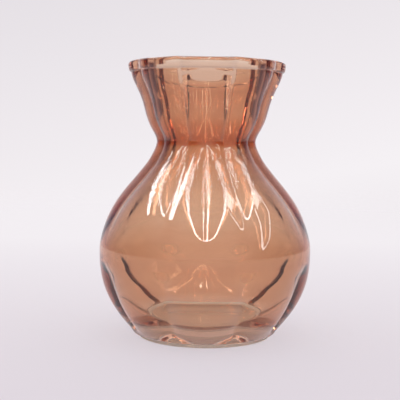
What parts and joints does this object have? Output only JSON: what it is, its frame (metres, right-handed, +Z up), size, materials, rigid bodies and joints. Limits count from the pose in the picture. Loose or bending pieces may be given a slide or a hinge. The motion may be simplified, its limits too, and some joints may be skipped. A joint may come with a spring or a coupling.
{
  "type": "gourd vase",
  "caption": "Moulded glass gourd vase: a round bulb on a low foot, a pinched waist and a flared petalled cup with a beaded rim, lacquered outside, for holding cut flowers.",
  "frame": {"origin": "middle of the resting plane under the foot, on the vase's own axis", "axes": "+Z up along the vase's axis, from the foot to the mouth; -Y towards the viewer, with a petal of the cup facing it"},
  "size_m": [0.116, 0.116, 0.15],
  "materials": {
    "clear_glass": "polished",
    "pink_brown_lacquer": "gloss, translucent"
  },
  "bodies": {
    "root": {"glass_body": "clear_glass", "colour_coat": "pink_brown_lacquer"}
  },
  "joints": []
}
